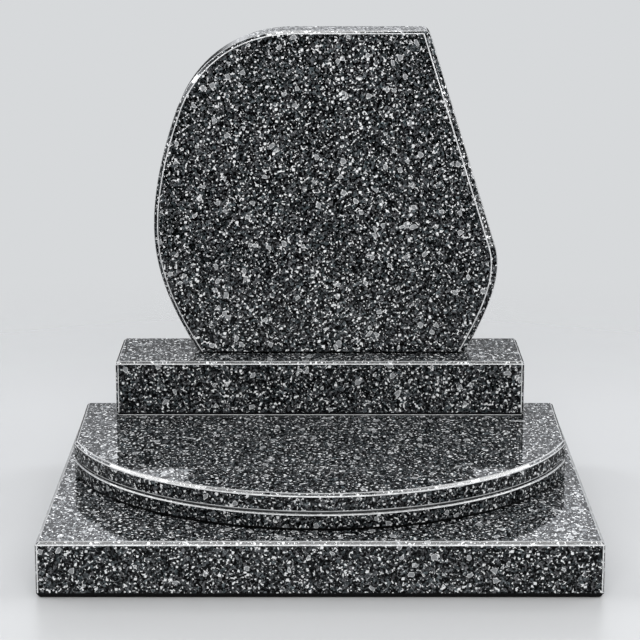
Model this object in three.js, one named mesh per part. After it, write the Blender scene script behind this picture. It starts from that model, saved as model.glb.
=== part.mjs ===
// Urn memorial of polished dark grey granite: a base slab on the ground, two round-fronted cover slabs,
// a long plinth and an upright headstone with a curved left side and a slanted right side.
// Millimetres, +Z up, +Y to the back. The origin is the middle of the base slab's underside.

import * as THREE from 'three';

// Base slab, with its arris, the narrow slope along every edge
const baseWidth = 600;
const baseDepth = 500;
const baseHeight = 62;
const baseArris = 3.5;

// Cover slabs: one outline for both, an arc in front and sides that open a little to the back
const coverFrontRadius = 296;
const coverFrontY = -214;
const coverShoulderHalfWidth = 282;
const coverBackHalfWidth = 284.5;
const coverBackY = 166.5;
const lowerCoverThickness = 19;
const lowerCoverArris = 2;
const upperCoverThickness = 22.5;
const upperCoverArrisAbove = 4;
const upperCoverArrisBelow = 3;

// Plinth: it laps over the back of the cover slabs and stands on the base slab behind them
const plinthWidth = 486.5;
const plinthFrontY = 101.5;
const plinthBackY = 226;
const plinthHeightOverCovers = 67;
const plinthArris = 3;
const plinthJoint = 0.3;

// Headstone: its face is framed by a bevel that is narrow on top, wider on the left and widest on the right
const headstoneFrontY = 142.5;
const headstoneThickness = 64;
const headstoneHeight = 387.5;
const headstoneBevelDepth = 6;
const headstoneTopBevel = 3.5;
const headstoneLeftBevel = 4.5;
const headstoneRightBevel = 7.5;
const headstoneBackArris = 3.5;

// Corners and curve handles of the headstone's outline: x, and z above the plinth
const footLeft = new THREE.Vector2(-145.5, 0);
const footRight = new THREE.Vector2(174.5, 0);
const footRightHandle = new THREE.Vector2(202, 52.5);
const bulgeRightHandle = new THREE.Vector2(221, 94.5);
const bulgeRight = new THREE.Vector2(208.5, 134);
const topRight = new THREE.Vector2(128.5, headstoneHeight);
const topLeft = new THREE.Vector2(-30, headstoneHeight);
const topLeftHandle = new THREE.Vector2(-113, headstoneHeight);
const shoulderHandle = new THREE.Vector2(-156, 333.5);
const shoulder = new THREE.Vector2(-170.5, 291.5);
const flankHandle = new THREE.Vector2(-185.5, 249);
const bulgeLeftHandle = new THREE.Vector2(-198, 200.5);
const bulgeLeft = new THREE.Vector2(-198, 154.5);
const lowerLeftHandle = new THREE.Vector2(-198, 106);
const footLeftHandle = new THREE.Vector2(-183.5, 61.5);

const arcSteps = 48;
const curveSteps = 14;

const granite = { color: 0x4a4d50, roughness: 0.12, metalness: 0 };

// Moves every side of a closed outline inwards by its own width; neighbouring sides meet again.
// The outline runs anticlockwise, and widths[i] belongs to the side from point i to the next one.
function insetOutline(outline, widths) {
  const count = outline.length;
  const outward = outline.map((point, i) => {
    const along = outline[(i + 1) % count].clone().sub(point).normalize();
    return new THREE.Vector2(along.y, -along.x);
  });
  return outline.map((point, i) => {
    const before = (i + count - 1) % count;
    const a = outward[before];
    const b = outward[i];
    const turn = a.cross(b);
    if (Math.abs(turn) < 1e-6) {
      return point.clone().addScaledVector(b, -widths[i]);
    }
    const x = (widths[i] * a.y - widths[before] * b.y) / turn;
    const y = (widths[before] * b.x - widths[i] * a.x) / turn;
    return new THREE.Vector2(point.x + x, point.y + y);
  });
}

// Closed skin over a stack of outlines with equally many points, capped at both ends.
// place turns an outline point and its level into a point of the object.
function loft(rings, place) {
  const count = rings[0].outline.length;
  const positions = [];
  for (const { outline, level } of rings) {
    for (const point of outline) {
      positions.push(...place(point, level));
    }
  }
  const index = [];
  for (let ring = 0; ring + 1 < rings.length; ring += 1) {
    for (let i = 0; i < count; i += 1) {
      const here = ring * count + i;
      const next = ring * count + (i + 1) % count;
      index.push(here, next, next + count);
      index.push(here, next + count, here + count);
    }
  }
  const last = (rings.length - 1) * count;
  for (const [a, b, c] of THREE.ShapeUtils.triangulateShape(rings[0].outline, [])) {
    index.push(a, c, b);
  }
  for (const [a, b, c] of THREE.ShapeUtils.triangulateShape(rings.at(-1).outline, [])) {
    index.push(last + a, last + b, last + c);
  }
  const geometry = new THREE.BufferGeometry();
  geometry.setAttribute('position', new THREE.Float32BufferAttribute(positions, 3));
  geometry.setIndex(index);
  geometry.computeVertexNormals();
  return geometry;
}

// A slab between two levels whose end faces are drawn in by an arris at the start and at the end
function arrisedSlab(outline, start, end, startArris, endArris, place) {
  const drawnIn = (arris) => insetOutline(outline, outline.map(() => arris));
  return loft([
    { outline: drawnIn(startArris), level: start },
    { outline, level: start + startArris },
    { outline, level: end - endArris },
    { outline: drawnIn(endArris), level: end },
  ], place);
}

// Rectangle with its corners cut off, anticlockwise
function cutCornerRectangle(width, depth, cut) {
  const x = width / 2;
  const y = depth / 2;
  return [
    new THREE.Vector2(-x + cut, -y),
    new THREE.Vector2(x - cut, -y),
    new THREE.Vector2(x, -y + cut),
    new THREE.Vector2(x, y - cut),
    new THREE.Vector2(x - cut, y),
    new THREE.Vector2(-x + cut, y),
    new THREE.Vector2(-x, y - cut),
    new THREE.Vector2(-x, -y + cut),
  ];
}

// Plan of the cover slabs: the front arc from left to right, then the straight back
function coverOutline() {
  const halfAngle = Math.asin(coverShoulderHalfWidth / coverFrontRadius);
  const centreY = coverFrontY + coverFrontRadius;
  const start = -Math.PI / 2 - halfAngle;
  const end = -Math.PI / 2 + halfAngle;
  const front = new THREE.EllipseCurve(0, centreY, coverFrontRadius, coverFrontRadius, start, end);
  return [
    ...front.getPoints(arcSteps),
    new THREE.Vector2(coverBackHalfWidth, coverBackY),
    new THREE.Vector2(-coverBackHalfWidth, coverBackY),
  ];
}

// Cross-section of the plinth, y and z: a block with a step cut out of its front foot for the cover slabs
function plinthSection(standing, lapping, top) {
  const stepY = coverBackY + plinthJoint;
  return [
    new THREE.Vector2(stepY, standing),
    new THREE.Vector2(plinthBackY, standing),
    new THREE.Vector2(plinthBackY, top - plinthArris),
    new THREE.Vector2(plinthBackY - plinthArris, top),
    new THREE.Vector2(plinthFrontY + plinthArris, top),
    new THREE.Vector2(plinthFrontY, top - plinthArris),
    new THREE.Vector2(plinthFrontY, lapping),
    new THREE.Vector2(stepY, lapping),
  ];
}

// Outline of the headstone seen from the front, anticlockwise from the left end of its foot,
// with the width of the bevel along each of its short sides
function headstoneOutline() {
  const stretches = [
    { curve: new THREE.LineCurve(footLeft, footRight), steps: 1, bevel: [0, 0] },
    {
      curve: new THREE.CubicBezierCurve(footRight, footRightHandle, bulgeRightHandle, bulgeRight),
      steps: curveSteps,
      bevel: [headstoneRightBevel, headstoneRightBevel],
    },
    {
      curve: new THREE.LineCurve(bulgeRight, topRight),
      steps: 1,
      bevel: [headstoneRightBevel, headstoneRightBevel],
    },
    {
      curve: new THREE.LineCurve(topRight, topLeft),
      steps: 1,
      bevel: [headstoneTopBevel, headstoneTopBevel],
    },
    {
      curve: new THREE.CubicBezierCurve(topLeft, topLeftHandle, shoulderHandle, shoulder),
      steps: curveSteps,
      bevel: [headstoneTopBevel, headstoneLeftBevel],
    },
    {
      curve: new THREE.CubicBezierCurve(shoulder, flankHandle, bulgeLeftHandle, bulgeLeft),
      steps: curveSteps,
      bevel: [headstoneLeftBevel, headstoneLeftBevel],
    },
    {
      curve: new THREE.CubicBezierCurve(bulgeLeft, lowerLeftHandle, footLeftHandle, footLeft),
      steps: curveSteps,
      bevel: [headstoneLeftBevel, headstoneLeftBevel],
    },
  ];
  const outline = [];
  const bevels = [];
  for (const { curve, steps, bevel } of stretches) {
    const points = curve.getPoints(steps);
    for (let i = 0; i < steps; i += 1) {
      outline.push(points[i]);
      bevels.push(THREE.MathUtils.lerp(bevel[0], bevel[1], (i + 0.5) / steps));
    }
  }
  return { outline, bevels };
}

// Levels of the stack, from the ground up
const baseTop = baseHeight;
const lowerCoverTop = baseTop + lowerCoverThickness;
const upperCoverTop = lowerCoverTop + upperCoverThickness;
const plinthTop = upperCoverTop + plinthHeightOverCovers;

// Ways of standing an outline: lying flat, across the width, and upright with its face to the front
const lyingFlat = (point, level) => [point.x, point.y, level];
const acrossWidth = (point, level) => [level, point.x, point.y];
const upright = (point, level) => [point.x, -level, plinthTop + point.y];

function headstoneGeometry() {
  const { outline, bevels } = headstoneOutline();
  const backWidths = bevels.map((bevel) => (bevel > 0 ? headstoneBackArris : 0));
  const backY = headstoneFrontY + headstoneThickness;
  return loft([
    { outline: insetOutline(outline, backWidths), level: -backY },
    { outline, level: -(backY - headstoneBackArris) },
    { outline, level: -(headstoneFrontY + headstoneBevelDepth) },
    { outline: insetOutline(outline, bevels), level: -headstoneFrontY },
  ], upright);
}

const basePlan = cutCornerRectangle(baseWidth, baseDepth, baseArris);
const coverPlan = coverOutline();
const plinthEnd = plinthSection(baseTop, upperCoverTop + plinthJoint, plinthTop);
const pieces = {
  base_slab: arrisedSlab(basePlan, 0, baseTop, baseArris, baseArris, lyingFlat),
  lower_cover_slab: arrisedSlab(
    coverPlan, baseTop, lowerCoverTop, lowerCoverArris, lowerCoverArris, lyingFlat,
  ),
  upper_cover_slab: arrisedSlab(
    coverPlan, lowerCoverTop, upperCoverTop, upperCoverArrisBelow, upperCoverArrisAbove, lyingFlat,
  ),
  plinth: arrisedSlab(
    plinthEnd, -plinthWidth / 2, plinthWidth / 2, plinthArris, plinthArris, acrossWidth,
  ),
  headstone: headstoneGeometry(),
};

const memorial = new THREE.Group();
memorial.name = 'urn_memorial';
for (const [name, geometry] of Object.entries(pieces)) {
  const mesh = new THREE.Mesh(geometry, new THREE.MeshStandardMaterial(granite));
  mesh.name = name;
  memorial.add(mesh);
}

export default memorial;
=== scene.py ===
import math

import bpy
from mathutils import Matrix, Vector


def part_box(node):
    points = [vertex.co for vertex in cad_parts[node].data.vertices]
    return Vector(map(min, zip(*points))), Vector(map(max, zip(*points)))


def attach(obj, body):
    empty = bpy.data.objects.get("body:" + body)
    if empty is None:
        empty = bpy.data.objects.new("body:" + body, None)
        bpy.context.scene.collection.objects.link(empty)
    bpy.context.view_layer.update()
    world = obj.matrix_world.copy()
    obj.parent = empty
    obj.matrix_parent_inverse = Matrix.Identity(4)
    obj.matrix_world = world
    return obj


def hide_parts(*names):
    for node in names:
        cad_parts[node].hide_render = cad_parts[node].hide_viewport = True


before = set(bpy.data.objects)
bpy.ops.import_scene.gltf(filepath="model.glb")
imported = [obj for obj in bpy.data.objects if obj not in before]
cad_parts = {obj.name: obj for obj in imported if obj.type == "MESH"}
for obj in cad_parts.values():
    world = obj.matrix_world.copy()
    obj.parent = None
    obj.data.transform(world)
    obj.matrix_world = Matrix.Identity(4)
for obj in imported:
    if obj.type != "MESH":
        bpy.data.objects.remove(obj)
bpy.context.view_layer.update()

# Base slab: one block of dark grey granite, sawn to size, polished on every side that shows and laid flat
# on the ground. Its edges are ground to a narrow slope, the arris, and softened where it meets the faces.
BASE_ARRIS = 0.0035
BASE_FOOT_INSET = 0.003
BASE_FOOT_HEIGHT = 0.0048
BASE_CORNER_CUT = 0.002
BASE_PATTERN_SHIFT = (0.0, 0.0, 0.0)
# Painted shade: the base's colour is darkened for the extra light it gets
BASE_PAINTED_SHADE = 0.86
SOFTENING = 0.0008
SOFTENING_STEPS = 3
SOFTENED_CORNER = math.radians(12)

# Granite: grains, flecks, gaps, patches, crystals and specks are sized in metres, their rims and edges in
# shares of a grain. A pair of numbers is where a change over the stone starts and where it ends.
BED_TURN = (0.4, 0.7, 0.2)
BED_STRETCH = (1.0, 0.68, 1.0)
GRAIN = 0.0040
GRAIN_SHARE = 0.6
FLECK = 0.0015
FLECK_SHARE = 0.4
GRAIN_TONES = (
    (0.00, (0.0015, 0.0016, 0.0017)),
    (0.30, (0.009, 0.010, 0.0105)),
    (0.55, (0.027, 0.0295, 0.031)),
    (0.80, (0.070, 0.076, 0.080)),
    (1.00, (0.190, 0.200, 0.208)),
)
COOL_TINT = (0.86, 1.02, 1.06, 1)
WARM_TINT = (1.06, 0.98, 1.00, 1)
RIM_WIDTH = 0.11
RIM_FULL = RIM_WIDTH / 3
RIM_GAP = 0.0046
RIM_GAP_EDGE = (0.42, 0.58)
RIM_STRENGTH = 0.7
RIM_COLOUR = (0.24, 0.25, 0.26, 1)
PATCH_EDGE = (0.03, -0.03)
BLACK_PATCH = 0.0028
BLACK_START = 0.445
BLACK_SPREAD = 1.3
BLACK_COLOUR = (0.0008, 0.0009, 0.0010, 1)
WHITE_PATCH = 0.0032
WHITE_START = 0.595
WHITE_SPREAD = 1.7
WHITE_DULLEST = 0.6
WHITE_COLOUR = (0.94, 0.95, 0.96, 1)
CRYSTAL = 0.0052
CRYSTAL_SHARE = 0.028
CRYSTAL_STRENGTH = 0.8
CRYSTAL_COLOUR = (0.29, 0.30, 0.31, 1)
CRYSTAL_RIM = 0.13
CRYSTAL_RIM_FULL = CRYSTAL_RIM / 2
CRYSTAL_RIM_GAP = (0.2, 0.5)
SPECK = 0.0046
SPECK_LARGEST = 0.60
SPECK_SPREAD = 2.0
SPECK_EDGE = (-0.03, 0.03)
SPECK_DULLEST = 0.7

# Polish: dark grains take little of it, a little more on level faces, and the arrises are polished all over
PALE_GRAIN = (0.0, 0.10)
DARK_GRAIN_POLISH = 0.12
LEVEL_FACE = (0.5, 0.95)
LEVEL_FACE_POLISH = 0.20
ARRIS_STEEPEST = (0.2, 0.4)
ARRIS_FLATTEST = (0.97, 0.9)
POLISH_ROUGHNESS = 0.03
POLISH_IOR = 1.45
STONE_ROUGHNESS = 0.30
GRAIN_RELIEF = 0.0002
GRAIN_RELIEF_STRENGTH = 0.03


class Flow:
    """An output socket in a node tree. Arithmetic on it adds Math nodes to that tree."""

    def __init__(self, tree, socket=None):
        self.tree = tree
        self.socket = socket

    def node(self, kind, settings=None, inputs=None, output=0):
        """Adds a node: its settings first, then the values or links of its inputs."""
        node = self.tree.nodes.new(kind)
        for name, value in (settings or {}).items():
            if name == "stops":
                set_stops(node.color_ramp, value)
            else:
                setattr(node, name, value)
        for name, value in (inputs or {}).items():
            if isinstance(value, Flow):
                self.tree.links.new(value.socket, node.inputs[name])
            else:
                node.inputs[name].default_value = value
        return Flow(self.tree, node.outputs[output] if node.outputs else None)

    def also(self, output):
        """Another output of the same node."""
        return Flow(self.tree, self.socket.node.outputs[output])

    def math(self, operation, *others):
        return self.node("ShaderNodeMath", {"operation": operation}, dict(enumerate((self, *others))))

    def mixed(self, first, second):
        """Colour between first and second, with this value as the share of second."""
        return self.node("ShaderNodeMix", {"data_type": "RGBA"}, {0: self, 6: first, 7: second}, 2)

    def tinted(self, tint):
        settings = {"data_type": "RGBA", "blend_type": "MULTIPLY"}
        return self.node("ShaderNodeMix", settings, {0: 1.0, 6: self, 7: tint}, 2)

    def step(self, low, high):
        """Smooth rise from 0 at low to 1 at high; low may be the larger of the two."""
        inputs = {"Value": self, "From Min": low, "From Max": high}
        return self.node("ShaderNodeMapRange", {"interpolation_type": "SMOOTHSTEP"}, inputs)

    def lifted(self, lowest):
        """The same rise from 0 to 1, but starting at lowest."""
        return self * (1 - lowest) + lowest

    def part(self, name):
        kind = "ShaderNodeSeparateColor" if name in ("Red", "Green", "Blue") else "ShaderNodeSeparateXYZ"
        return self.node(kind, None, {0: self}, name)

    def __add__(self, other):
        return self.math("ADD", other)

    def __sub__(self, other):
        return self.math("SUBTRACT", other)

    def __rsub__(self, other):
        return self.node("ShaderNodeMath", {"operation": "SUBTRACT"}, {0: other, 1: self})

    def __mul__(self, other):
        return self.math("MULTIPLY", other)

    def __truediv__(self, other):
        return self.math("DIVIDE", other)

    def __gt__(self, other):
        return self.math("GREATER_THAN", other)

    def __lt__(self, other):
        return self.math("LESS_THAN", other)

    __radd__ = __add__
    __rmul__ = __mul__


def set_stops(ramp, stops):
    while len(ramp.elements) < len(stops):
        ramp.elements.new(1)
    for element, (position, colour) in zip(ramp.elements, stops):
        element.position = position
        element.color = (*colour, 1)


def new_material(name):
    """An empty material, with a Flow to start its nodes from."""
    material = bpy.data.materials.new(name)
    material.use_nodes = True
    material.node_tree.nodes.clear()
    return material, Flow(material.node_tree)


def granite(name, shift, painted_shade):
    """Polished granite: packed grey and black grains with broken pale rims, white specks and pale crystals.
    shift moves the stone's pattern, so that no two pieces are cut from the same place, and tone is how
    light the piece is painted: painted shade where a piece gets more light, painted light where it gets
    less."""
    material, start = new_material(name)
    spot = start.node("ShaderNodeTexCoord", output="Object")
    turned = {"Vector": spot, "Location": shift, "Rotation": BED_TURN, "Scale": BED_STRETCH}
    spot = start.node("ShaderNodeMapping", None, turned)

    def cells(size, output, feature="F1", distance="EUCLIDEAN"):
        settings = {"feature": feature, "distance": distance}
        return start.node("ShaderNodeTexVoronoi", settings, {"Vector": spot, "Scale": 1 / size}, output)

    def clouds(size):
        return start.node("ShaderNodeTexNoise", None, {"Vector": spot, "Scale": 1 / size, "Detail": 1.0})

    grain = cells(GRAIN, "Color")
    edge = cells(GRAIN, "Distance", "DISTANCE_TO_EDGE")
    fleck = cells(FLECK, "Color").part("Red")
    grey = grain.part("Red") * GRAIN_SHARE + fleck * FLECK_SHARE
    colour = start.node("ShaderNodeValToRGB", {"stops": GRAIN_TONES}, {"Fac": grey})
    colour = colour.tinted(grain.part("Blue").mixed(COOL_TINT, WARM_TINT))
    rim = edge.step(RIM_WIDTH, RIM_FULL) * clouds(RIM_GAP).step(*RIM_GAP_EDGE)
    colour = (rim * RIM_STRENGTH).mixed(colour, RIM_COLOUR)

    black = edge - (clouds(BLACK_PATCH) - BLACK_START) * BLACK_SPREAD
    colour = black.step(*PATCH_EDGE).mixed(colour, BLACK_COLOUR)
    white = edge - (clouds(WHITE_PATCH) - WHITE_START) * WHITE_SPREAD
    colour = (white.step(*PATCH_EDGE) * fleck.lifted(WHITE_DULLEST)).mixed(colour, WHITE_COLOUR)

    crystal = cells(CRYSTAL, "Color").part("Red") < CRYSTAL_SHARE
    crystal_rim = cells(CRYSTAL, "Distance", "DISTANCE_TO_EDGE").step(CRYSTAL_RIM, CRYSTAL_RIM_FULL)
    crystal_tone = (crystal_rim * fleck.step(*CRYSTAL_RIM_GAP)).mixed(CRYSTAL_COLOUR, WHITE_COLOUR)
    colour = (crystal * CRYSTAL_STRENGTH).mixed(colour, crystal_tone)
    speck = cells(SPECK, "Distance", distance="MANHATTAN")
    inside = SPECK_LARGEST - speck.also("Color").part("Red") * SPECK_SPREAD - speck
    colour = (inside.step(*SPECK_EDGE) * fleck.lifted(SPECK_DULLEST)).mixed(colour, WHITE_COLOUR)
    # Painted shade and light: the whole colour is scaled by tone, for how much light the piece gets
    colour = colour.tinted((painted_shade, painted_shade, painted_shade, 1))

    upward = start.node("ShaderNodeNewGeometry", output="True Normal").part("Z")
    lightness = start.node("ShaderNodeRGBToBW", None, {"Color": colour})
    arris = upward.step(*ARRIS_STEEPEST) * upward.step(*ARRIS_FLATTEST)
    dark_polish = upward.step(*LEVEL_FACE) * LEVEL_FACE_POLISH + DARK_GRAIN_POLISH
    polish = lightness.step(*PALE_GRAIN) * (1 - dark_polish) + dark_polish + arris
    relief = start.node("ShaderNodeBump", None, {
        "Strength": GRAIN_RELIEF_STRENGTH,
        "Distance": GRAIN_RELIEF,
        "Height": edge,
    })
    surface = start.node("ShaderNodeBsdfPrincipled", None, {
        "Base Color": colour,
        "Roughness": STONE_ROUGHNESS,
        "Specular IOR Level": 0.0,
        "Coat Weight": polish.math("MINIMUM", 1.0),
        "Coat Roughness": POLISH_ROUGHNESS,
        "Coat IOR": POLISH_IOR,
        "Normal": relief,
    })
    start.node("ShaderNodeOutputMaterial", None, {"Surface": surface})
    return material


# Honed edges, with a painted highlight: pale where they look forward or slant up, painted shade on top,
# below and at the sides
PAINTED_HIGHLIGHT_COLOUR = (0.75, 0.76, 0.77, 1)
PAINTED_EDGE_SHADE_COLOUR = (0.12, 0.122, 0.124, 1)
EDGE_SHADE_UNDERNEATH = (-0.65, -0.3)
EDGE_SHADE_ON_TOP = (0.72, 0.82)
EDGE_SHADE_ON_TOP_AMOUNT = 0.6
EDGE_SHADE_AT_SIDES = (0.76, 0.92)
PAINTED_HIGHLIGHT_DULLEST = 0.6
HONED_ROUGHNESS = 0.35
HONED_POLISH = 0.8
HONED_POLISH_ROUGHNESS = 0.08


def honed_edge_painted_highlight():
    """The hair-thin edges between face and arris: honed by hand, and painted pale as highlight lines."""
    material, start = new_material("honed_edge_painted_highlight")
    spot = start.node("ShaderNodeTexCoord", output="Object")
    grain = start.node("ShaderNodeTexVoronoi", None, {"Vector": spot, "Scale": 1 / GRAIN}, "Color")
    facing = start.node("ShaderNodeNewGeometry", output="Normal")
    upward = facing.part("Z")
    sideways = facing.part("X").math("ABSOLUTE")
    # Painted shade: the edge colour darkens where it faces down, up or sideways; the rest is a painted
    # highlight
    painted_highlight_and_shade = upward.step(*EDGE_SHADE_UNDERNEATH) * (1 - upward.step(*EDGE_SHADE_ON_TOP) * EDGE_SHADE_ON_TOP_AMOUNT)
    painted_highlight_and_shade = painted_highlight_and_shade * grain.part("Red").lifted(PAINTED_HIGHLIGHT_DULLEST)
    sideways_shade_mask = sideways.step(*EDGE_SHADE_AT_SIDES)
    painted_highlight_and_shade = painted_highlight_and_shade * (1 - sideways_shade_mask)
    surface = start.node("ShaderNodeBsdfPrincipled", None, {
        "Base Color": painted_highlight_and_shade.mixed(PAINTED_EDGE_SHADE_COLOUR, PAINTED_HIGHLIGHT_COLOUR),
        "Roughness": HONED_ROUGHNESS,
        "Specular IOR Level": 0.0,
        "Coat Weight": (1 - sideways_shade_mask) * HONED_POLISH,
        "Coat Roughness": HONED_POLISH_ROUGHNESS,
        "Coat IOR": POLISH_IOR,
    })
    start.node("ShaderNodeOutputMaterial", None, {"Surface": surface})
    return material


honed_highlight_finish = honed_edge_painted_highlight()

# Painted shade: the sawn undersides and slopes are coloured near-black for the shade under and between the
# pieces
SAWN_PAINTED_SHADE_COLOUR = (0.003, 0.0031, 0.0032, 1)
SAWN_ROUGHNESS = 0.7
SAWN_SHINE = 0.1


def sawn_stone_painted_shade():
    """The undersides and the narrow slopes along them, which are left as the saw cut them and painted
    near-black as shade.
    """
    material, start = new_material("sawn_stone_painted_shade")
    surface = start.node("ShaderNodeBsdfPrincipled", None, {
        "Base Color": SAWN_PAINTED_SHADE_COLOUR,
        "Roughness": SAWN_ROUGHNESS,
        "Specular IOR Level": SAWN_SHINE,
    })
    start.node("ShaderNodeOutputMaterial", None, {"Surface": surface})
    return material


sawn_shaded_finish = sawn_stone_painted_shade()

# A piece's three finishes, and how far down a face looks that is an underside or a slope along one
HONED_HIGHLIGHT_SLOT, STONE_SLOT, SAWN_SHADE_SLOT = 0, 1, 2
UNDERSIDE = -0.95
SLOPE_UNDER = -0.12
# Two sides of an outline with a smaller turn between them run straight on
STRAIGHT_ON = 1e-6


def inset_outline(outline, widths):
    """Moves each side of an anticlockwise outline inwards by its own width; the sides meet again."""
    count = len(outline)
    outward = []
    for i, (x, y) in enumerate(outline):
        next_x, next_y = outline[(i + 1) % count]
        length = math.hypot(next_x - x, next_y - y)
        outward.append(((next_y - y) / length, (x - next_x) / length))
    inset = []
    for i, (x, y) in enumerate(outline):
        before, after = outward[i - 1], outward[i]
        turn = before[0] * after[1] - before[1] * after[0]
        if abs(turn) < STRAIGHT_ON:
            inset.append((x - after[0] * widths[i], y - after[1] * widths[i]))
        else:
            move_x = (widths[i] * before[1] - widths[i - 1] * after[1]) / turn
            move_y = (widths[i - 1] * after[0] - widths[i] * before[0]) / turn
            inset.append((x + move_x, y + move_y))
    return inset


def loft(name, rings, place):
    """A closed piece over a stack of outlines; place turns an outline point and its level into x, y, z.
    Points of an outline that fall together become one."""
    count = len(rings[0][0])
    numbers = {}
    rows = []
    for outline, level in rings:
        rows.append([numbers.setdefault(place(x, y, level), len(numbers)) for x, y in outline])
    faces = [rows[0][::-1], rows[-1]]
    for lower, upper in zip(rows, rows[1:]):
        for i in range(count):
            beside = (i + 1) % count
            faces.append([lower[i], lower[beside], upper[beside], upper[i]])
    points = list(numbers)
    faces = [list(dict.fromkeys(face)) for face in faces]
    mesh = bpy.data.meshes.new(name)
    mesh.from_pydata(points, [], faces)
    mesh.shade_smooth()
    piece = bpy.data.objects.new(name, mesh)
    bpy.context.scene.collection.objects.link(piece)
    return piece


def dress(piece, stone):
    """Gives the piece its three finishes; at first all faces have the polished one."""
    for finish in (honed_highlight_finish, stone, sawn_shaded_finish):
        piece.data.materials.append(finish)
    for face in piece.data.polygons:
        face.material_index = STONE_SLOT


def soften(piece, slopes_under=None, softening=SOFTENING):
    """Rounds the piece's sharp edges by a hair, gives them the honed, painted-highlight finish and makes it
    a plain mesh.
    The underside is sawn and painted as shade, and slopes_under is the finish of the slopes that look down,
    if it is another."""
    bevel = piece.modifiers.new("softened_arris", "BEVEL")
    bevel.width = softening
    bevel.segments = SOFTENING_STEPS
    bevel.limit_method = "ANGLE"
    bevel.angle_limit = SOFTENED_CORNER
    bevel.harden_normals = True
    # The softened edges get the honed finish, painted pale as highlight lines
    bevel.material = HONED_HIGHLIGHT_SLOT
    depsgraph = bpy.context.evaluated_depsgraph_get()
    mesh = bpy.data.meshes.new_from_object(piece.evaluated_get(depsgraph), depsgraph=depsgraph)
    piece.modifiers.clear()
    for slot, finish in enumerate(piece.data.materials):
        if slot < len(mesh.materials):
            mesh.materials[slot] = finish
        else:
            mesh.materials.append(finish)
    for face in mesh.polygons:
        if face.normal.z < UNDERSIDE:
            face.material_index = SAWN_SHADE_SLOT
        elif face.normal.z < SLOPE_UNDER and slopes_under is not None:
            face.material_index = slopes_under
    piece.data = mesh


def set_in_frame(piece, node):
    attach(piece, "root")
    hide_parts(node)


def cut_corner_rectangle(low, high, cut):
    return [
        (low[0] + cut, low[1]), (high[0] - cut, low[1]),
        (high[0], low[1] + cut), (high[0], high[1] - cut),
        (high[0] - cut, high[1]), (low[0] + cut, high[1]),
        (low[0], high[1] - cut), (low[0], low[1] + cut),
    ]


base_low, base_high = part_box("base_slab")
base_plan = cut_corner_rectangle(base_low, base_high, BASE_CORNER_CUT)
# The cut corners are drawn in further than the long sides, so that they keep their width
base_face = inset_outline(base_plan, [BASE_ARRIS, BASE_ARRIS * math.sqrt(2)] * 4)
base_foot = inset_outline(base_plan, [BASE_FOOT_INSET, BASE_FOOT_INSET * math.sqrt(2)] * 4)
base_rings = [
    (base_foot, base_low[2]),
    (base_plan, base_low[2] + BASE_FOOT_HEIGHT),
    (base_plan, base_high[2] - BASE_ARRIS),
    (base_face, base_high[2]),
]
base = loft("base_slab_stone", base_rings, lambda x, y, level: (x, y, level))
dress(base, granite("base_slab_granite", BASE_PATTERN_SHIFT, BASE_PAINTED_SHADE))
# The base's foot slopes are painted near-black, as the shade along the ground
soften(base, SAWN_SHADE_SLOT)
set_in_frame(base, "base_slab")

# Cover slabs: two thin slabs of the same granite and outline, an arc in front and straight behind, bedded
# one on the other on the base slab. The upper one has a wide polished arris, the lower one a narrow one.
COVER_FRONT_RADIUS = 0.296
COVER_SHOULDER_HALF_WIDTH = 0.282
COVER_ARC_STEPS = 128
COVER_RINGS = 6
COVER_CLOSING = 0.00001
LOWER_COVER_FOOT_ARRIS = 0.003
LOWER_COVER_TOP_ARRIS = 0.0011
LOWER_COVER_SOFTENING = 0.0006
LOWER_COVER_PATTERN_SHIFT = (0.31, 0.17, 0.05)
# Painted shade: both cover slabs' colours are darkened for the extra light they get
LOWER_COVER_PAINTED_SHADE = 0.74
UPPER_COVER_ARRIS = 0.003
UPPER_COVER_PATTERN_SHIFT = (0.57, 0.83, 0.29)
UPPER_COVER_PAINTED_SHADE = 0.82


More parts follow.
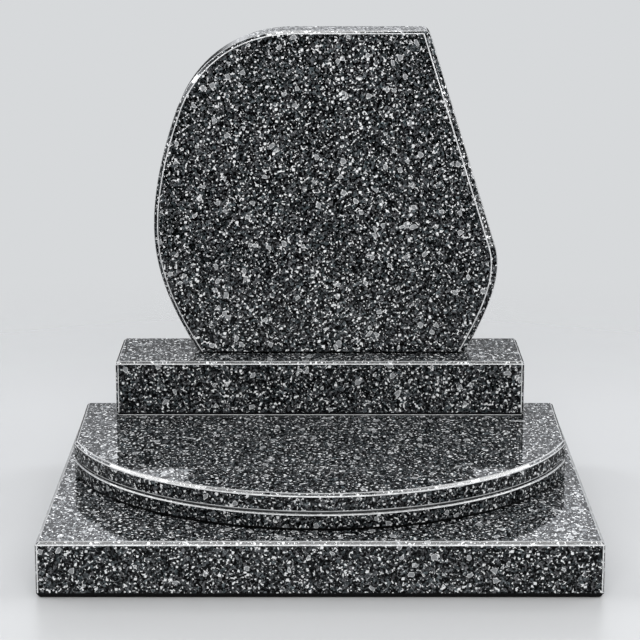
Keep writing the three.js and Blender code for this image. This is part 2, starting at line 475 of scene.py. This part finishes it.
def cover_tree():
    """Rule for a cover slab: a grid of columns round the outline and rings up the edge.
    The first and last ring are drawn together in one point each, which closes the slab.
    Rings and columns are told apart by comparing their numbers with the halves in between."""
    tree = bpy.data.node_groups.new("cover_slab", "GeometryNodeTree")
    interface = tree.interface
    sizes = ("Front Radius", "Front Y", "Shoulder Half Width", "Back Half Width", "Back Y", "Bottom", "Top",
             "Lower Arris", "Upper Arris")
    for size in sizes:
        interface.new_socket(size, in_out="INPUT", socket_type="NodeSocketFloat")
    interface.new_socket("Stone", in_out="INPUT", socket_type="NodeSocketMaterial")
    interface.new_socket("Slab", in_out="OUTPUT", socket_type="NodeSocketGeometry")
    start = Flow(tree)
    entry = tree.nodes.new("NodeGroupInput")
    given = {socket.name: Flow(tree, socket) for socket in entry.outputs if socket.name}

    columns = COVER_ARC_STEPS + 3
    grid = start.node("GeometryNodeMeshGrid", None, {"Vertices X": columns + 1, "Vertices Y": COVER_RINGS})
    index = start.node("GeometryNodeInputIndex")
    ring = index.math("MODULO", COVER_RINGS)
    column = (index / COVER_RINGS).math("FLOOR").math("MODULO", columns)

    low_edge = (ring > 0.5) * (ring < 1.5)
    high_edge = (ring > 3.5) * (ring < 4.5)
    drawn_in = low_edge * given["Lower Arris"] + high_edge * given["Upper Arris"]
    side_height = given["Top"] - given["Bottom"] - given["Lower Arris"] - given["Upper Arris"]
    height = given["Bottom"] + (ring > 1.5) * given["Lower Arris"] + (ring > 2.5) * side_height
    height = height + (ring > 3.5) * given["Upper Arris"]
    spread = (ring > 0.5) * (ring < COVER_RINGS - 1.5)

    radius = given["Front Radius"] - drawn_in
    centre_y = given["Front Y"] + given["Front Radius"]
    reach = (given["Shoulder Half Width"] - drawn_in) / radius
    half_angle = reach.math("ARCSINE")
    angle = half_angle * (column * (2 / COVER_ARC_STEPS) - 1)
    in_front = column < COVER_ARC_STEPS + 0.5
    side = (COVER_ARC_STEPS + 1.5 - column) * 2
    front_x = radius * angle.math("SINE")
    front_y = centre_y - radius * angle.math("COSINE")
    back_x = side * (given["Back Half Width"] - drawn_in)
    back_y = given["Back Y"] - drawn_in
    x = (in_front * front_x + (1 - in_front) * back_x) * spread
    y = in_front * front_y + (1 - in_front) * back_y
    y = y * spread + centre_y * (1 - spread)

    place = start.node("ShaderNodeCombineXYZ", None, {"X": x, "Y": y, "Z": height})
    slab = start.node("GeometryNodeSetPosition", None, {"Geometry": grid, "Position": place})
    slab = start.node("GeometryNodeMergeByDistance", None, {"Geometry": slab, "Distance": COVER_CLOSING})
    slab = start.node("GeometryNodeSetShadeSmooth", None, {"Geometry": slab})
    slab = start.node("GeometryNodeRealizeInstances", None, {"Geometry": slab})
    slab = start.node("GeometryNodeSetMaterial", None, {"Geometry": slab, "Material": given["Stone"]})
    start.node("NodeGroupOutput", None, {"Slab": slab})
    return tree


cover_rule = cover_tree()


def cover_slab(name, node, stone, lower_arris, upper_arris, slopes_under, softening):
    low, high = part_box(node)
    sizes = {
        "Front Radius": COVER_FRONT_RADIUS,
        "Front Y": low[1],
        "Shoulder Half Width": COVER_SHOULDER_HALF_WIDTH,
        "Back Half Width": high[0],
        "Back Y": high[1],
        "Bottom": low[2],
        "Top": high[2],
        "Lower Arris": lower_arris,
        "Upper Arris": upper_arris,
        "Stone": stone,
    }
    piece = bpy.data.objects.new(name, bpy.data.meshes.new(name))
    dress(piece, stone)
    bpy.context.scene.collection.objects.link(piece)
    modifier = piece.modifiers.new("cover_slab", "NODES")
    modifier.node_group = cover_rule
    for socket in cover_rule.interface.items_tree:
        if socket.in_out == "INPUT":
            modifier[socket.identifier] = sizes[socket.name]
    soften(piece, slopes_under, softening)
    set_in_frame(piece, node)


lower_granite = granite("lower_cover_granite", LOWER_COVER_PATTERN_SHIFT, LOWER_COVER_PAINTED_SHADE)
upper_granite = granite("upper_cover_granite", UPPER_COVER_PATTERN_SHIFT, UPPER_COVER_PAINTED_SHADE)
# The lower cover's foot slopes are painted near-black, as the shade in the joint on the base
cover_slab(
    "lower_cover_stone", "lower_cover_slab", lower_granite,
    LOWER_COVER_FOOT_ARRIS, LOWER_COVER_TOP_ARRIS, SAWN_SHADE_SLOT, LOWER_COVER_SOFTENING,
)
# The upper cover's downward slopes get the honed finish too, with its painted shade underneath
cover_slab(
    "upper_cover_stone", "upper_cover_slab", upper_granite,
    UPPER_COVER_ARRIS, UPPER_COVER_ARRIS, HONED_HIGHLIGHT_SLOT, SOFTENING,
)

# Plinth: a long granite block that carries the headstone. A step cut out of its front foot laps over the
# back of the cover slabs, and behind them it stands on the base slab. All its upper edges have an arris.
PLINTH_ARRIS = 0.003
PLINTH_JOINT = 0.0003
PLINTH_FOOT_ARRIS = 0.0016
PLINTH_FOOT_HEIGHT = 0.0021
PLINTH_SOFTENING = 0.0006
PLINTH_PATTERN_SHIFT = (1.13, 0.41, 0.77)
# Painted shade: the plinth's colour is darkened for the extra light it gets
PLINTH_PAINTED_SHADE = 0.90
LOOKING_FORWARD = -0.9

plinth_low, plinth_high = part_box("plinth")
covers_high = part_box("upper_cover_slab")[1]
plinth_step_y = covers_high[1] + PLINTH_JOINT
plinth_lap_z = covers_high[2] + PLINTH_JOINT
plinth_foot_z = plinth_lap_z + PLINTH_FOOT_HEIGHT
plinth_section = [
    (plinth_step_y, plinth_low[2]),
    (plinth_high[1], plinth_low[2]),
    (plinth_high[1], plinth_high[2] - PLINTH_ARRIS),
    (plinth_high[1] - PLINTH_ARRIS, plinth_high[2]),
    (plinth_low[1] + PLINTH_ARRIS, plinth_high[2]),
    (plinth_low[1], plinth_high[2] - PLINTH_ARRIS),
    (plinth_low[1], plinth_foot_z + PLINTH_FOOT_ARRIS),
    (plinth_low[1] + PLINTH_FOOT_ARRIS, plinth_foot_z),
    (plinth_low[1] + PLINTH_FOOT_ARRIS, plinth_lap_z),
    (plinth_step_y, plinth_lap_z),
]
# The ends are drawn in on every side but the underside of the lap, which lies close over the cover slabs
plinth_end_widths = [PLINTH_ARRIS] * len(plinth_section)
plinth_end_widths[-2] = 0
plinth_end = inset_outline(plinth_section, plinth_end_widths)
plinth_rings = [
    (plinth_end, plinth_low[0]),
    (plinth_section, plinth_low[0] + PLINTH_ARRIS),
    (plinth_section, plinth_high[0] - PLINTH_ARRIS),
    (plinth_end, plinth_high[0]),
]
plinth = loft("plinth_stone", plinth_rings, lambda y, z, level: (level, y, z))
dress(plinth, granite("plinth_granite", PLINTH_PATTERN_SHIFT, PLINTH_PAINTED_SHADE))
# The narrow strip under the foot's arris gets the honed finish, painted pale, and shows as a pale line along
# the joint
for face in plinth.data.polygons:
    if face.normal.y < LOOKING_FORWARD and face.center.z < plinth_foot_z:
        face.material_index = HONED_HIGHLIGHT_SLOT
# The plinth's downward foot arris is painted near-black, as the shade line over the joint
soften(plinth, SAWN_SHADE_SLOT, PLINTH_SOFTENING)
set_in_frame(plinth, "plinth")

# Headstone: an upright granite slab standing on the plinth, curved on the left, cut slanting on the right.
# Its blank face is framed by a polished bevel that is narrow on top and widest along the slanted side.
BEVEL_DEPTH = 0.006
FOOT_BEVEL = 0.0020
TOP_BEVEL = 0.0027
LEFT_BEVEL = 0.0045
RIGHT_BEVEL = 0.0075
BACK_ARRIS = 0.0035
CURVE_STEPS = 40
CORNER_ROUNDING = 0.007
CORNER_STEPS = 8
HEADSTONE_PATTERN_SHIFT = (0.71, 1.37, 0.53)
# Painted light: the headstone's colour is lightened a little for the light it lacks
HEADSTONE_PAINTED_LIGHT = 1.04
FOOT_DOWNWARD = -0.03
FOOT_SIDEWAYS = 0.1

stone_low, stone_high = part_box("headstone")
stone_height = stone_high[2] - stone_low[2]
# Corners of the outline and, between them, the handles of the curves: x, and z above the plinth
FOOT_LEFT = (-0.1455, 0)
FOOT_RIGHT = (0.1745, 0)
BULGE_RIGHT = (0.2085, 0.134)
TOP_RIGHT = (0.1285, stone_height)
TOP_LEFT = (-0.030, stone_height)
SHOULDER = (-0.1705, 0.2915)
BULGE_LEFT = (-0.198, 0.1545)
HEADSTONE_STRETCHES = (
    ((FOOT_LEFT, FOOT_RIGHT), FOOT_BEVEL, FOOT_BEVEL),
    ((FOOT_RIGHT, (0.202, 0.0525), (0.221, 0.0945), BULGE_RIGHT), RIGHT_BEVEL, RIGHT_BEVEL),
    ((BULGE_RIGHT, TOP_RIGHT), RIGHT_BEVEL, RIGHT_BEVEL),
    ((TOP_RIGHT, TOP_LEFT), TOP_BEVEL, TOP_BEVEL),
    ((TOP_LEFT, (-0.113, stone_height), (-0.156, 0.3335), SHOULDER), TOP_BEVEL, LEFT_BEVEL),
    ((SHOULDER, (-0.1855, 0.249), (-0.198, 0.2005), BULGE_LEFT), LEFT_BEVEL, LEFT_BEVEL),
    ((BULGE_LEFT, (-0.198, 0.106), (-0.1835, 0.0615), FOOT_LEFT), LEFT_BEVEL, LEFT_BEVEL),
)


def bezier_point(handles, share):
    """A point of the straight or curved stretch that the handles describe."""
    while len(handles) > 1:
        handles = [
            (a[0] + (b[0] - a[0]) * share, a[1] + (b[1] - a[1]) * share)
            for a, b in zip(handles, handles[1:])
        ]
    return handles[0]


headstone_outline = []
headstone_bevels = []
for handles, bevel_start, bevel_end in HEADSTONE_STRETCHES:
    steps = CURVE_STEPS if len(handles) > 2 else 1
    for i in range(steps):
        headstone_outline.append(bezier_point(handles, i / steps))
        headstone_bevels.append(bevel_start + (bevel_end - bevel_start) * (i + 0.5) / steps)

headstone_back_arris = [BACK_ARRIS if bevel > FOOT_BEVEL else 0 for bevel in headstone_bevels]
headstone_face = inset_outline(headstone_outline, headstone_bevels)
headstone_back = inset_outline(headstone_outline, headstone_back_arris)

# The corner at the top right is rounded on the outline only; the face and the back keep it sharp
corner = headstone_outline.index(TOP_RIGHT)
slant = Vector(BULGE_RIGHT) - Vector(TOP_RIGHT)
slant_end = tuple(Vector(TOP_RIGHT) + slant.normalized() * CORNER_ROUNDING)
top_end = (TOP_RIGHT[0] - CORNER_ROUNDING, TOP_RIGHT[1])
corner_curve = [
    bezier_point((slant_end, TOP_RIGHT, top_end), i / CORNER_STEPS) for i in range(CORNER_STEPS + 1)
]
headstone_outline[corner:corner + 1] = corner_curve
headstone_face[corner:corner + 1] = [headstone_face[corner]] * len(corner_curve)
headstone_back[corner:corner + 1] = [headstone_back[corner]] * len(corner_curve)
headstone_rings = [
    (headstone_back, -stone_high[1]),
    (headstone_outline, -(stone_high[1] - BACK_ARRIS)),
    (headstone_outline, -(stone_low[1] + BEVEL_DEPTH)),
    (headstone_face, -stone_low[1]),
]
headstone = loft(
    "headstone_stone", headstone_rings, lambda x, z, level: (x, -level, stone_low[2] + z)
)
dress(headstone, granite("headstone_granite", HEADSTONE_PATTERN_SHIFT, HEADSTONE_PAINTED_LIGHT))
soften(headstone)
# The edges along the foot stand in the joint and are sawn like the underside, painted near-black as the
# shade in the joint
for face in headstone.data.polygons:
    if face.normal.z < FOOT_DOWNWARD and abs(face.normal.x) < FOOT_SIDEWAYS:
        face.material_index = SAWN_SHADE_SLOT
set_in_frame(headstone, "headstone")

# Studio: a plain pale floor that fades into an even pale background, a dome of soft light in bands, and soft
# boxes overhead, round both sides and in front, which the arrises mirror. The camera looks down a little.
FLOOR_HALF = 1.6
FLOOR_COLOUR = (0.455, 0.46, 0.465, 1)
FLOOR_ROUGHNESS = 0.38
FLOOR_SHINE = 0.25
FLOOR_SOLID = 0.55
FLOOR_GONE = 1.5
BACKGROUND_COLOUR = (0.679, 0.694, 0.708, 1)
DOME_LOW = (0.03, 0.03, 0.03, 1)
DOME_FRONT = (0.12, 0.122, 0.124, 1)
DOME_HORIZON = (0.45, 0.46, 0.47, 1)
DOME_RIM = (1.00, 1.02, 1.06, 1)
DOME_BACK = (2.45, 2.51, 2.62, 1)
DOME_TOP = (0.14, 0.142, 0.145, 1)
RIM_TO_HORIZON = (0.12, 0.18)
HORIZON_TO_BACK = (0.19, 0.35)
FRONT_TO_BACK = (-0.35, 0.35)
LOW_TO_RIM = (-0.02, 0.06)
BACK_TO_TOP = (0.45, 0.65)
ABOVE_COVERS = (0, 0, 0.25)
# A soft box: the two ends of its middle line, its depth, the point it faces and its brightness
SOFT_BOXES = {
    "slab_soft_box": ((-0.62, -0.98, 2.2), (0.62, -0.98, 2.2), 0.14, (0, -0.98, 0), 8),
    "cover_soft_box": ((-0.6, -0.84, 2.2), (0.6, -0.84, 2.2), 0.14, (0, -0.84, 0), 3),
    "plinth_soft_box": ((-0.52, -0.39, 2.2), (0.52, -0.39, 2.2), 0.20, (0, -0.39, 0), 4),
    "crown_soft_box": ((-0.5, 1.3, 2.2), (0.5, 1.3, 2.2), 0.35, (0, 0.2, 0.5), 6),
    "far_left_soft_box": ((-2.75, 1.3, 2.05), (-1.9, 0.13, 2.05), 0.22, ABOVE_COVERS, 18),
    "left_soft_box": ((-1.9, 0.13, 2.05), (-1.35, -0.36, 2.05), 0.22, ABOVE_COVERS, 15),
    "front_left_soft_box": ((-1.35, -0.36, 2.05), (-0.62, -0.72, 2.05), 0.2, ABOVE_COVERS, 7),
    "front_right_soft_box": ((0.62, -0.72, 2.05), (1.35, -0.36, 2.05), 0.2, ABOVE_COVERS, 7),
    "right_soft_box": ((1.35, -0.36, 2.05), (1.9, 0.13, 2.05), 0.22, ABOVE_COVERS, 14),
    "far_right_soft_box": ((1.9, 0.13, 2.05), (2.75, 1.3, 2.05), 0.22, ABOVE_COVERS, 16),
    "low_right_soft_box": ((2.2, -0.6, 0.75), (2.2, 0.05, 0.75), 0.7, (0, 0, 0.4), 4),
    "front_soft_box": ((-1.2, -2.9, 2.0), (1.2, -2.9, 2.0), 1.2, ABOVE_COVERS, 9.5),
}
CAMERA_PLACE = (0, -2.5526, 0.8236)
CAMERA_PITCH = math.radians(12.785)
CAMERA_LENS = 129.4
CAMERA_SENSOR = 36


def floor_material():
    material, start = new_material("pale_floor")
    spot = start.node("ShaderNodeTexCoord", output="Object")
    away = start.node("ShaderNodeVectorMath", {"operation": "LENGTH"}, {0: spot}, "Value")
    surface = start.node("ShaderNodeBsdfPrincipled", None, {
        "Base Color": FLOOR_COLOUR,
        "Roughness": FLOOR_ROUGHNESS,
        "Specular IOR Level": FLOOR_SHINE,
        "Alpha": away.step(FLOOR_GONE, FLOOR_SOLID),
    })
    start.node("ShaderNodeOutputMaterial", None, {"Surface": surface})
    return material


floor_mesh = bpy.data.meshes.new("floor")
floor_corners = [
    (-FLOOR_HALF, -FLOOR_HALF, 0), (FLOOR_HALF, -FLOOR_HALF, 0),
    (FLOOR_HALF, FLOOR_HALF, 0), (-FLOOR_HALF, FLOOR_HALF, 0),
]
floor_mesh.from_pydata(floor_corners, [], [[0, 1, 2, 3]])
floor_mesh.materials.append(floor_material())
floor = bpy.data.objects.new("floor", floor_mesh)
bpy.context.scene.collection.objects.link(floor)


def dome_light():
    """Soft light from all round: bright behind, dim in front, overhead and below.
    The camera sees one even background instead."""
    world = bpy.data.worlds.new("studio")
    world.use_nodes = True
    tree = world.node_tree
    tree.nodes.clear()
    start = Flow(tree)
    direction = start.node("ShaderNodeTexCoord", output="Generated")
    height = direction.part("Z")
    colour = height.step(*RIM_TO_HORIZON).mixed(DOME_RIM, DOME_HORIZON)
    colour = height.step(*HORIZON_TO_BACK).mixed(colour, DOME_BACK)
    colour = direction.part("Y").step(*FRONT_TO_BACK).mixed(DOME_FRONT, colour)
    colour = height.step(*LOW_TO_RIM).mixed(DOME_LOW, colour)
    colour = height.step(*BACK_TO_TOP).mixed(colour, DOME_TOP)
    seen = start.node("ShaderNodeLightPath", output="Is Camera Ray")
    colour = seen.mixed(colour, BACKGROUND_COLOUR)
    light = start.node("ShaderNodeBackground", None, {"Color": colour})
    start.node("ShaderNodeOutputWorld", None, {"Surface": light})
    return world


def soft_box(name, left_end, right_end, depth, aim, painted_highlight_and_shade):
    """A lit panel that faces aim. Its middle line runs from one end to the other."""
    left_end = Vector(left_end)
    right_end = Vector(right_end)
    middle = (left_end + right_end) / 2
    behind = (middle - Vector(aim)).normalized()
    upward = behind.cross(right_end - left_end).normalized()
    along = upward.cross(behind)
    light = bpy.data.lights.new(name, "AREA")
    light.shape = "RECTANGLE"
    light.size = (right_end - left_end).length
    light.size_y = depth
    light.energy = painted_highlight_and_shade * math.pi * light.size * light.size_y
    box = bpy.data.objects.new(name, light)
    box.matrix_world = Matrix.Translation(middle) @ Matrix((along, upward, behind)).transposed().to_4x4()
    box.visible_camera = False
    bpy.context.scene.collection.objects.link(box)


scene = bpy.context.scene
scene.world = dome_light()
scene.view_settings.view_transform = "Standard"
for name, placing in SOFT_BOXES.items():
    soft_box(name, *placing)

camera_data = bpy.data.cameras.new("camera")
camera_data.sensor_width = CAMERA_SENSOR
camera_data.lens = CAMERA_LENS
camera = bpy.data.objects.new("camera", camera_data)
camera.location = CAMERA_PLACE
camera.rotation_euler = (math.pi / 2 - CAMERA_PITCH, 0, 0)
scene.collection.objects.link(camera)
scene.camera = camera
